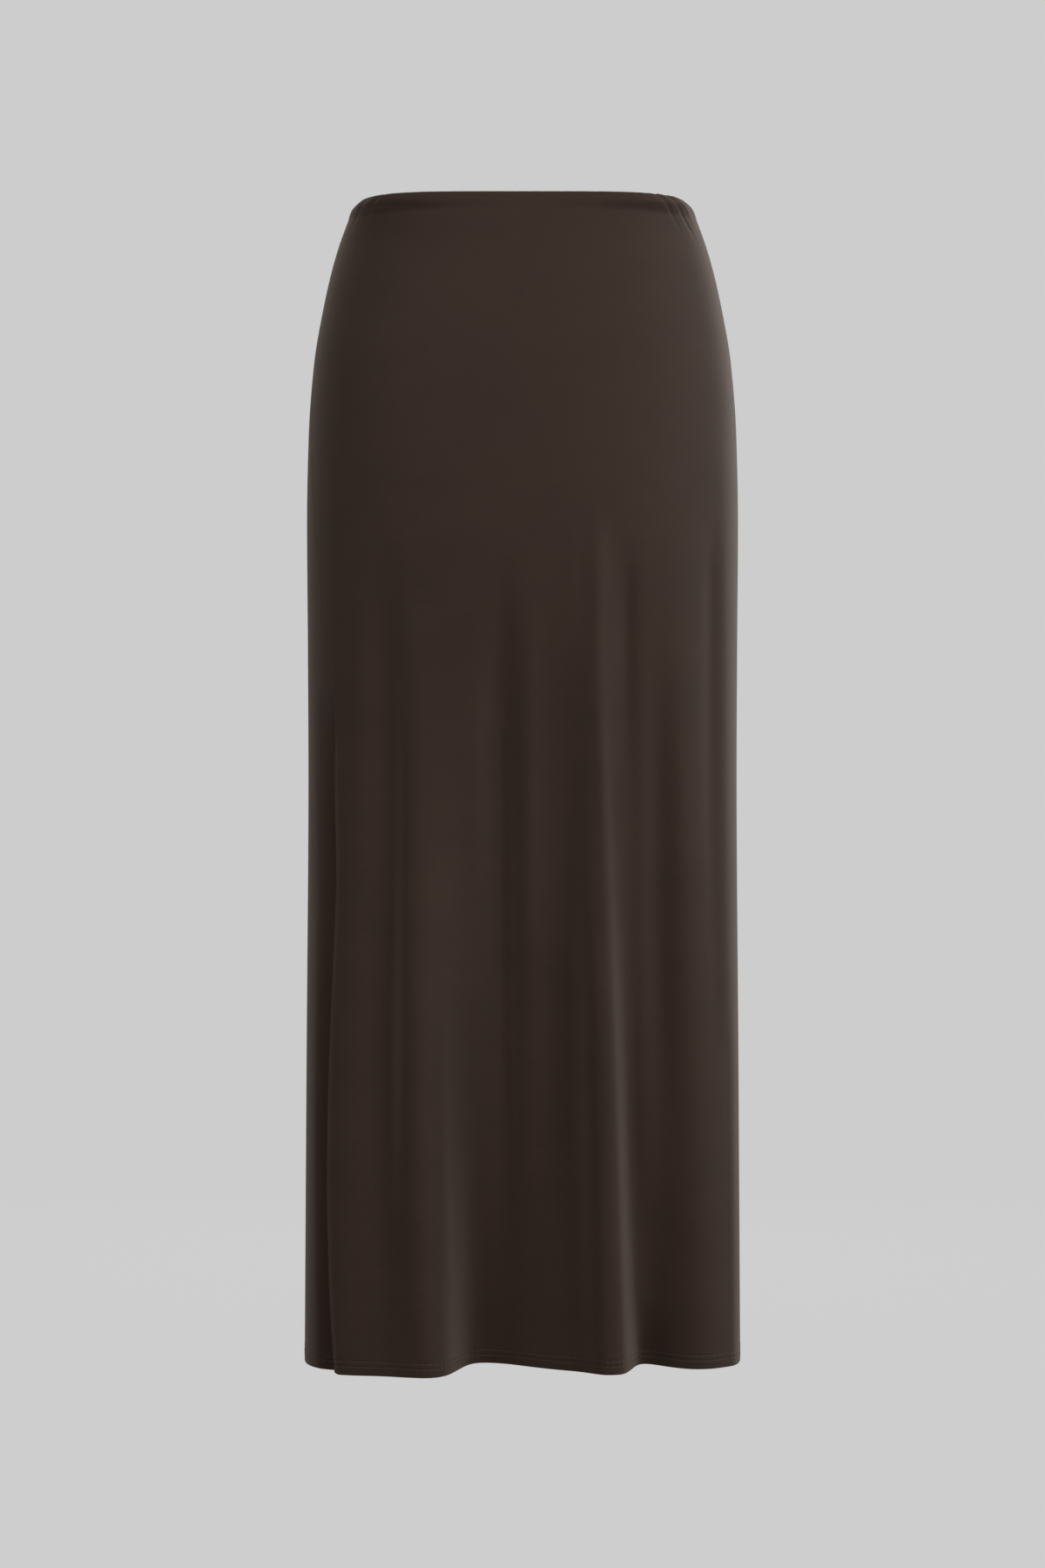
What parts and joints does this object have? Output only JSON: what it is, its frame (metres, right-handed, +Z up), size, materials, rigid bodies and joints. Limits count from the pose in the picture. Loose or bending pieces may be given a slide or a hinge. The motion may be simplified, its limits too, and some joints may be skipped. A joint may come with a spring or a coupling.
{
  "type": "jersey midi skirt with a side slit",
  "caption": "Hollow, worn-form midi skirt in plain dark brown jersey: front and back panels, turned waist edge, side slit and soft folds towards a topstitched hem.",
  "frame": {"origin": "middle of the waist opening, level with its top edge", "axes": "+Z up along the skirt, the front faces -Y, the wearer's right side with the slit is -X"},
  "size_m": [0.3386, 0.231, 0.895],
  "materials": {
    "brown_jersey": "fine smooth knit with a soft, low sheen"
  },
  "bodies": {
    "root": {"front_panel": "brown_jersey", "back_panel": "brown_jersey"}
  },
  "joints": []
}
